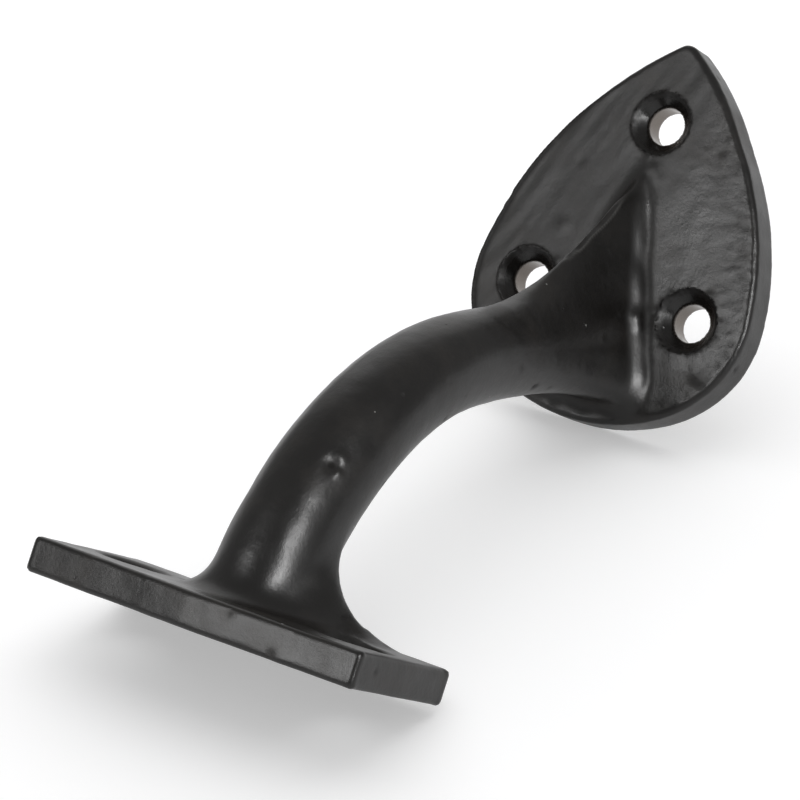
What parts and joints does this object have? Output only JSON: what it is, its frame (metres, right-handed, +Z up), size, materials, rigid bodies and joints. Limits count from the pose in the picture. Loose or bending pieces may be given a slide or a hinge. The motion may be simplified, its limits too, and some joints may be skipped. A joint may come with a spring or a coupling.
{
  "type": "handrail bracket",
  "caption": "Cast wall bracket for a handrail: a shield-shaped plate with countersunk screw holes, a curved round arm on a buttressed root, and a flat plate under the rail.",
  "frame": {"origin": "midway between the two upper wall screw holes, in the flat back of the wall plate", "axes": "+Y out of the back of the wall plate, into the wall; +Z up, towards the rail; X along the rail"},
  "size_m": [0.0514, 0.0891, 0.1008],
  "materials": {
    "black_coat": "satin black coat over an undressed sand-cast skin"
  },
  "bodies": {
    "root": {"bracket_casting": "black_coat"}
  },
  "joints": []
}
